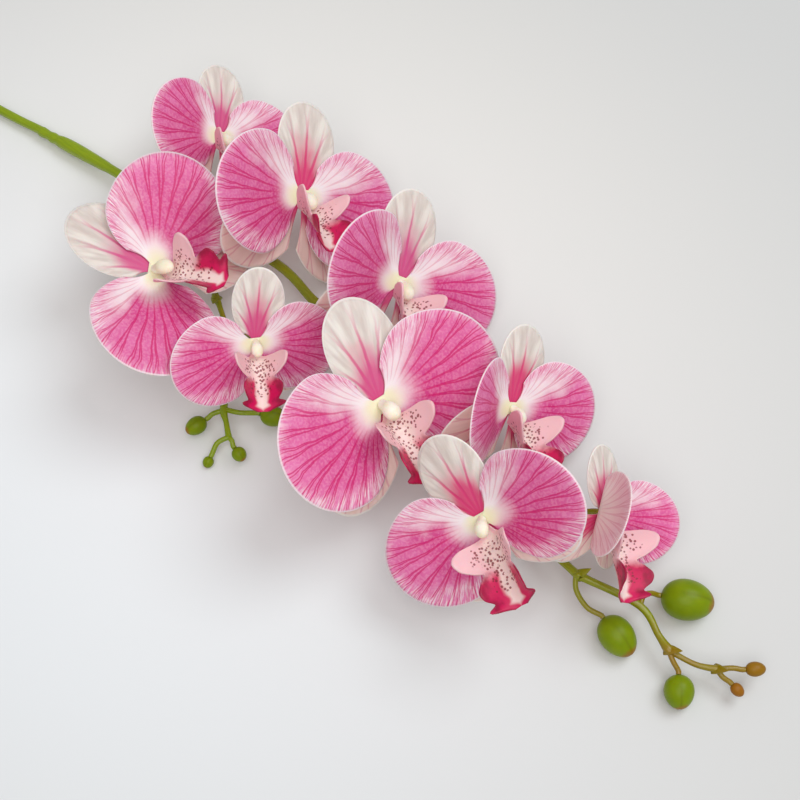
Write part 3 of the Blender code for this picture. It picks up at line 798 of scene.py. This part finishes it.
def lip_look(grain):
    """Pale pink side lobes with dark dots in the trough, crimson wings and horns, and painted shade that
    darkens the wings towards their outer edges.
    """
    look, net, shader, place = start_look("lip skin", 0.42)
    parts = net.split(markings_of(net))
    along = parts["Y"]
    aside = net.sum_up("ABSOLUTE", net.times_plus(parts["X"], 2.0, -1.0))
    blotch = net.swing(place, 220.0, 3.0)
    trough = net.rest_of(net.rise(aside, 0.2, 0.5))
    colour = net.tint(trough, LIP_PINK, LIP_PALE)
    deep = net.rise(net.times_plus(blotch, 0.16, along), 0.44, 0.6)
    wing = net.rise(net.times_plus(blotch, 0.2, aside), 0.2, 0.42)
    tip = net.rise(net.times_plus(aside, 0.2, along), 0.93, 1.02)
    crimson = net.sum_up("MAXIMUM", net.times(deep, wing), tip)
    # Painted shade: the crimson darkens towards the wings' outer edges.
    dark = net.rise(net.times_plus(blotch, 1.2, aside), 0.55, 1.1)
    red = net.tint(net.times(dark, 0.75), LIP_CRIMSON, LIP_EDGE_SHADE)
    colour = net.tint(crimson, colour, red)
    colour = net.tint(net.times(lip_dots(net, place, along, aside), 0.85), colour, LIP_DOT)
    skin = group_node(net, grain, {"Place": place, "Broad Scale": 260.0})
    finish_skin(net, shader, colour, skin["Height"], bump=0.3, softness=0.15, shine=0.4)
    return look


def column_look(grain):
    """Cream white, a little yellower in random patches."""
    look, net, shader, place = start_look("column skin", 0.4)
    tone = net.rise(net.noise(place, 190.0), 0.35, 0.65)
    colour = net.tint(tone, COLUMN_CREAM, COLUMN_WHITE)
    skin = group_node(net, grain, {"Place": place, "Broad Scale": 300.0})
    finish_skin(net, shader, colour, skin["Height"], bump=0.25, softness=0.2, shine=0.4)
    return look


def stem_look(grain):
    """Yellow green with olive brown patches and fine lengthwise lines."""
    look, net, shader, place = start_look("stem skin", 0.26)
    lines_at = net.add("ShaderNodeMapping", {"Vector": place, "Scale": (0.06, 1.0, 1.0)}).outputs[0]
    lines = net.noise(lines_at, 1500.0, 2.0)
    patch = net.rise(net.noise(place, 26.0, 3.0), 0.46, 0.66)
    colour = net.tint(lines, STEM_GREEN, STEM_YELLOW)
    parts = net.split(place)
    ripe = net.rise(net.times_plus(patch, 0.04, parts["X"]), 0.22, 0.31)
    middle = net.times(net.rise(parts["X"], -0.1, 0.02), net.rise(parts["Y"], -0.045, -0.028))
    stalk = net.times(net.rise(net.attribute("girth"), 1.9, 1.4), net.rise(parts["X"], 0.18, 0.24))
    olive = net.times(middle, net.times_plus(patch, 0.35, 0.3))
    olive = net.sum_up("MAXIMUM", olive, net.sum_up("MAXIMUM", ripe, net.times(stalk, 0.7)))
    colour = net.tint(olive, colour, STEM_OLIVE)
    skin = group_node(net, grain, {"Place": lines_at, "Broad Scale": 700.0, "Fine Scale": 2400.0})
    finish_skin(net, shader, colour, skin["Height"], bump=0.3, softness=0.05, shine=0.5, depth=0.001)
    return look


def bud_look(grain):
    """Green, browner towards the tip, with painted shade along the seams; the last two of the main stem
    are brown all over.
    """
    look, net, shader, place = start_look("bud skin", 0.36)
    parts = net.split(markings_of(net))
    ripe = net.attribute("brown")
    patch = net.noise(place, 130.0, 3.0)
    colour = net.tint(patch, BUD_GREEN, BUD_YELLOW)
    # Painted shade along the seams' grooves.
    colour = net.tint(net.times(net.attribute("seam"), 0.45), colour, BUD_CREASE_SHADE)
    tip = net.rise(net.times_plus(patch, 0.3, parts["Y"]), 0.92, 1.06)
    brown = net.sum_up("MAXIMUM", net.times(tip, 0.85), ripe)
    colour = net.tint(brown, colour, BUD_BROWN)
    skin = group_node(net, grain, {"Place": place, "Broad Scale": 240.0})
    finish_skin(net, shader, colour, skin["Height"], bump=0.25, softness=0.08, shine=0.2)
    return look


def floor_look():
    """A pale surface with painted light: a warm tint towards the window and a cool one away from it, and
    painted shade that darkens it far from the blooms.
    """
    look, net, shader, place = start_look("floor", 0.6)
    parts = net.split(place)
    # Painted light: warmer towards the window side, cooler away from it.
    window_side = net.times_plus(net.noise(place, 1.2), 0.06, parts["Y"])
    pale = net.tint(net.rise(window_side, -0.2, 0.3), FLOOR_COOL_LIT, FLOOR_WARM_LIT)
    # Painted shade: darker away from the middle of the painted pool of light.
    away = net.add("ShaderNodeVectorMath", operation="DISTANCE")
    net.feed(away.inputs[0], place)
    net.feed(away.inputs[1], FLOOR_LIT_MIDDLE)
    far = net.rise(away.outputs["Value"], 0.03, 0.42)
    net.feed(shader.inputs["Base Color"], net.tint(far, pale, FLOOR_FAR_SHADE))
    shader.inputs["Specular IOR Level"].default_value = 0.25
    return look


def add_petals(name, bloom, frame, look):
    """The two petals in front of the sepals."""
    right = blade_sheet(PETAL, bloom, PETAL_GRID, bloom.lean[0], -bloom.droop[0], 0)
    left = blade_sheet(PETAL, bloom, PETAL_GRID, bloom.lean[1], -bloom.droop[1], 0, mirrored=True)
    return moulded_layer(name, (right, left), frame, look)


def add_sepals(name, bloom, frame, look):
    """The three sepals behind the petals."""
    turn = -SIDE_SEPAL_TURN
    right = blade_sheet(SIDE_SEPAL, bloom, SEPAL_GRID, bloom.side[0], turn, SEPAL_LEVEL, blush=1.0)
    top = blade_sheet(TOP_SEPAL, bloom, SEPAL_GRID, TOP_SEPAL_LEAN, 90 + bloom.top, SEPAL_LEVEL)
    left = blade_sheet(SIDE_SEPAL, bloom, SEPAL_GRID, bloom.side[1], turn, SEPAL_LEVEL, mirrored=True,
                       blush=1.0)
    return moulded_layer(name, (right, top, left), frame, look)


def add_lip(name, bloom, frame, look):
    """The lip in front of the side sepals."""
    return moulded_layer(name, (lip_sheet(bloom),), frame, look)


def add_column(name, bloom, frame, look):
    """The column: a turned knob that leans over the lip."""
    heights = [COLUMN_PROFILE[0]]
    for k in range(1, len(COLUMN_PROFILE)):
        heights += [between_points(COLUMN_PROFILE, k, part / COLUMN_STEPS)
                    for part in range(1, COLUMN_STEPS + 1)]
    bm = bmesh.new()
    profile = [bm.verts.new((max(radius, 0), 0, height)) for radius, height in heights]
    edges = [bm.edges.new(pair) for pair in zip(profile, profile[1:])]
    bmesh.ops.spin(bm, geom=[*profile, *edges], cent=(0, 0, 0), axis=(0, 0, 1), angle=math.tau,
                   steps=COLUMN_SIDES, use_merge=True)
    bmesh.ops.remove_doubles(bm, verts=bm.verts, dist=0.0001)
    for vert in bm.verts:
        leaned = vert.co - Vector((0, COLUMN_LEAN * vert.co.z, 0))
        vert.co = frame @ (leaned * bloom.span + Vector((0, 0, FIT_GAP)))
    bm.normal_update()
    bmesh.ops.recalc_face_normals(bm, faces=bm.faces)
    return new_piece(name, bm, look)


def pedicel_route(bloom, root, knee):
    """Out of the stem, round the knee, then straight to the middle of the bloom's back."""
    out = bloom_matrix(bloom).to_3x3().col[2]
    end = Vector(bloom.claw) + out * (SEPAL_LEVEL - THICKNESS)
    near = end - out * PEDICEL_END
    start, behind = Vector(root), near - out * PEDICEL_STRAIGHT
    route = []
    for k in range(PEDICEL_STEPS + 1):
        t = k / PEDICEL_STEPS
        place = (start * (1 - t) ** 3 + Vector(knee) * (3 * t * (1 - t) ** 2)
                 + behind * (3 * t ** 2 * (1 - t)) + near * t ** 3)
        route.append((*place, PEDICEL_RADIUS + PEDICEL_FLARE * t ** 4))
    return [*route, (*end, PEDICEL_RADIUS + PEDICEL_FLARE)]


def bud_pedicel_route(bud):
    """From the stem to the bud's round end, the last step along the bud's own line."""
    aim = Vector(bud.points_to).normalized()
    end = Vector(bud.middle) - aim * (bud.length / 2)
    return [(*point, PEDICEL_RADIUS) for point in (*bud.pedicel, end - BUD_PEDICEL_END * aim, end)]


def stalk_tree(look):
    """Geometry Nodes that turn lines with radii into round stalks with a slightly uneven skin.

    The attribute girth keeps each line's radius in millimetres for the stem's colour.
    """
    tree, net, given, out = new_group("stalks", (
        ("Lines", "Geometry", None), ("Step", "Float", STALK_STEP),
        ("Unevenness", "Float", UNEVENNESS), ("Lump Scale", "Float", 160.0),
        ("Sides", "Int", STALK_SIDES), ("Seed", "Int", 7),
    ), (("Stalks", "Geometry"),), "GeometryNodeTree")
    fine = net.add("GeometryNodeResampleCurve", {"Curve": given["Lines"], "Length": given["Step"]},
                   mode="LENGTH")
    ring = net.add("GeometryNodeCurvePrimitiveCircle", {"Resolution": given["Sides"], "Radius": MM},
                   mode="RADIUS")
    radius = net.add("GeometryNodeInputRadius").outputs["Radius"]
    marked = net.add("GeometryNodeStoreNamedAttribute", {
        "Geometry": fine.outputs["Curve"], "Name": "girth", "Value": radius},
        data_type="FLOAT", domain="POINT")
    tube = net.add("GeometryNodeCurveToMesh", {
        "Curve": marked.outputs["Geometry"], "Profile Curve": ring.outputs["Curve"], "Scale": radius,
        "Fill Caps": True})
    place = net.add("GeometryNodeInputPosition").outputs["Position"]
    away = net.add("ShaderNodeVectorMath", operation="ADD")
    net.feed(away.inputs[0], place)
    net.feed(away.inputs[1], net.add("ShaderNodeCombineXYZ", {"X": given["Seed"]}).outputs["Vector"])
    lump = net.sum_up("SUBTRACT", net.noise(away.outputs["Vector"], given["Lump Scale"]), 0.7)
    shift = net.add("ShaderNodeVectorMath", operation="SCALE")
    net.feed(shift.inputs[0], net.add("GeometryNodeInputNormal").outputs["Normal"])
    net.feed(shift.inputs["Scale"], net.times(lump, given["Unevenness"]))
    moved = net.add("GeometryNodeSetPosition", {"Geometry": tube.outputs["Mesh"],
                                                "Offset": shift.outputs["Vector"]})
    smooth = net.add("GeometryNodeSetShadeSmooth", {"Geometry": moved.outputs["Geometry"],
                                                    "Shade Smooth": True})
    whole = net.add("GeometryNodeRealizeInstances", {"Geometry": smooth.outputs["Geometry"]})
    painted = net.add("GeometryNodeSetMaterial", {"Geometry": whole.outputs["Geometry"],
                                                  "Material": look})
    net.feed(out["Stalks"], painted.outputs["Geometry"])
    return tree


def smooth_lines(routes, name):
    """A curve object with one smooth line for each route."""
    curve = bpy.data.curves.new(name, "CURVE")
    curve.dimensions = "3D"
    for points in routes:
        fine = [Vector(points[0])]
        for k in range(1, len(points)):
            fine += [between_points(points, k, part / LINE_STEPS) for part in range(1, LINE_STEPS + 1)]
        line = curve.splines.new("POLY")
        line.points.add(len(fine) - 1)
        for place, point in zip(line.points, fine):
            place.co = (*spray_frame(point[:3]), 1.0)
            place.radius = point[3] * DRAWN_IN
    return placed(name, curve)


def grown(drawn, tree, name):
    """The plain mesh that a tree makes of an object, as a new one; the old one goes."""
    modifier = drawn.modifiers.new("growth", "NODES")
    modifier.node_group = tree
    evaluated = drawn.evaluated_get(bpy.context.evaluated_depsgraph_get())
    mesh = bpy.data.meshes.new_from_object(evaluated)
    bpy.data.objects.remove(drawn, do_unlink=True)
    mesh.name = name
    return placed(name, mesh)


def bract_rows(place, points_to):
    """Rings of a thin hollowed scale that narrows to its point."""
    turn = Vector(points_to).to_track_quat("Z", "X").to_matrix().to_4x4()
    put = Matrix.Translation(place) @ turn
    rings = []
    for i in range(BRACT_ROWS + 1):
        along = i / BRACT_ROWS
        radius = BRACT_RADIUS * (1 - along ** BRACT_TAPER) + BRACT_POINT
        height = BRACT_LENGTH * (along - BRACT_SUNK)
        ring = []
        for j in range(BRACT_SIDES):
            around = math.tau * j / BRACT_SIDES
            x, y = radius * BRACT_FLATNESS * math.cos(around), radius * math.sin(around)
            ring.append(put @ Vector((x, y, height)))
        rings.append(ring)
    return rings


def add_stem(look):
    """Stem, side branch and every pedicel from one tree, with the bracts at the knots."""
    routes = [MAIN_STEM, SIDE_STEM]
    routes += [pedicel_route(bloom, *route) for bloom, route in zip(BLOOMS, PEDICEL_ROUTES)]
    routes += [bud_pedicel_route(bud) for bud in BUDS]
    drawn = smooth_lines(routes, "lines")
    piece = grown(drawn, stalk_tree(look), "stem")
    bm = bmesh.new()
    bm.from_mesh(piece.data)
    for place, points_to in BRACTS:
        rings = [[bm.verts.new(spray_frame(point)) for point in ring]
                 for ring in bract_rows(place, points_to)]
        ends = [bm.faces.new(rings[0][::-1]), bm.faces.new(rings[-1])]
        for face in wrap_rings(bm, rings) + ends:
            face.smooth = True
    bm.to_mesh(piece.data)
    bm.free()
    return piece


def add_bud(number, bud, look):
    """A bud: an egg with three faint seams that meet at its tip, flat where it lies."""
    bm = bmesh.new()
    uv = bm.loops.layers.uv.new("markings")
    brown = bm.verts.layers.float.new("brown")
    groove = bm.verts.layers.float.new("seam")
    turn = Vector(bud.points_to).to_track_quat("Z", "X").to_matrix().to_4x4()
    put = Matrix.Translation(bud.middle) @ turn
    rings, depth_of = [], {}
    for i in range(1, BUD_ALONG):
        polar = math.pi * i / BUD_ALONG
        height = -math.cos(polar)
        ring = []
        for j in range(BUD_AROUND):
            around = math.tau * j / BUD_AROUND
            seam = max(0.0, math.cos(BUD_SEAMS * around)) ** BUD_SEAM_SHARPNESS * (1 + height) / 2
            half = (1 - BUD_TAPER * height) * bud.width / 2 * math.sin(polar) * (1 - BUD_SEAM * seam)
            point = Vector((math.cos(around), math.sin(around), 0)) * half * DRAWN_IN
            ring.append(bm.verts.new(put @ (point + Vector((0, 0, height * bud.length / 2)))))
            depth_of[ring[-1]] = seam
        rings.append(ring)
    ends = [bm.verts.new(put @ Vector((0, 0, side * bud.length / 2))) for side in (-1, 1)]
    along_of = {ends[0]: 0.0, ends[1]: 1.0}
    for i, ring in enumerate(rings, start=1):
        along_of.update({vert: i / BUD_ALONG for vert in ring})
    wrap_rings(bm, rings)
    for ring, end in ((rings[0], ends[0]), (rings[-1], ends[1])):
        for a, b in zip(ring, ring[1:] + ring[:1]):
            bm.faces.new((a, b, end))
    for vert in bm.verts:
        vert.co.z = max(vert.co.z, BUD_LOWEST)
        vert[brown] = BROWN_BUDS.get(number, 0.0)
        vert[groove] = depth_of.get(vert, 0.0)
    bm.normal_update()
    bmesh.ops.recalc_face_normals(bm, faces=bm.faces)
    for face in bm.faces:
        for loop in face.loops:
            loop[uv].uv = (0.5, along_of[loop.vert])
    return new_piece(f"bud_{number}", bm, look)


def add_floor(look):
    """A large pale surface just under the lowest petals."""
    bm = bmesh.new()
    bmesh.ops.create_grid(bm, x_segments=1, y_segments=1, size=FLOOR_HALF)
    mesh = bpy.data.meshes.new("floor")
    bm.to_mesh(mesh)
    bm.free()
    mesh.materials.append(look)
    return placed("floor", mesh)


def aimed(place, target):
    """A frame at a place whose -Z looks at a target."""
    turn = (Vector(target) - Vector(place)).to_track_quat("-Z", "Y").to_matrix().to_4x4()
    return Matrix.Translation(place) @ turn


def add_lamp(lamp, target):
    """A round soft light that looks at the target."""
    light = bpy.data.lights.new(lamp.name, "AREA")
    light.shape = "DISK"
    light.size = lamp.size
    light.energy = lamp.power
    light.color = lamp.colour
    placed(lamp.name, light).matrix_world = aimed(target + Vector(lamp.place), target)


def set_studio():
    """Soft light from the upper right and from the eye's side, a pale room, and the camera."""
    middle = spray_frame(VIEW_TARGET)
    for lamp in LAMPS:
        add_lamp(lamp, middle)
    world = bpy.data.worlds.new("pale room")
    world.use_nodes = True
    background = world.node_tree.nodes["Background"]
    background.inputs["Color"].default_value = ROOM_COLOUR
    background.inputs["Strength"].default_value = ROOM_LIGHT
    bpy.context.scene.world = world
    camera = bpy.data.cameras.new("camera")
    camera.lens = VIEW_LENS
    camera.sensor_width = VIEW_SENSOR
    camera.clip_start = VIEW_NEAREST
    viewer = placed("camera", camera)
    viewer.matrix_world = aimed(spray_frame(VIEW_EYE), middle)
    bpy.context.scene.camera = viewer
    bpy.context.scene.view_settings.view_transform = "Standard"


def build():
    """Make every piece, let it ride on the spray's body, and set the studio."""
    veins, grain = forked_veins(), fine_grain()
    petal, sepal, lip = petal_look(veins, grain), sepal_look(veins, grain), lip_look(grain)
    column, stem, bud_skin = column_look(grain), stem_look(grain), bud_look(grain)
    made = [(add_stem(stem), "stem", "stem")]
    for number, bud in enumerate(BUDS, start=1):
        made.append((add_bud(number, bud, bud_skin), f"bud_{number}", "bud"))
    for number, bloom in enumerate(BLOOMS, start=1):
        frame = bloom_matrix(bloom)
        for kind, adder, look in (("sepals", add_sepals, sepal), ("petals", add_petals, petal),
                                  ("lip", add_lip, lip), ("column", add_column, column)):
            node = f"bloom_{number}_{kind}"
            slot = kind.removesuffix("s")
            made.append((adder(node + "_look", bloom, frame, look), node, slot))
    for piece, node, slot in made:
        piece.name = node + "_look"
        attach(piece, "root")
        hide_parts(node)
    add_floor(floor_look())
    set_studio()


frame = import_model()
build()
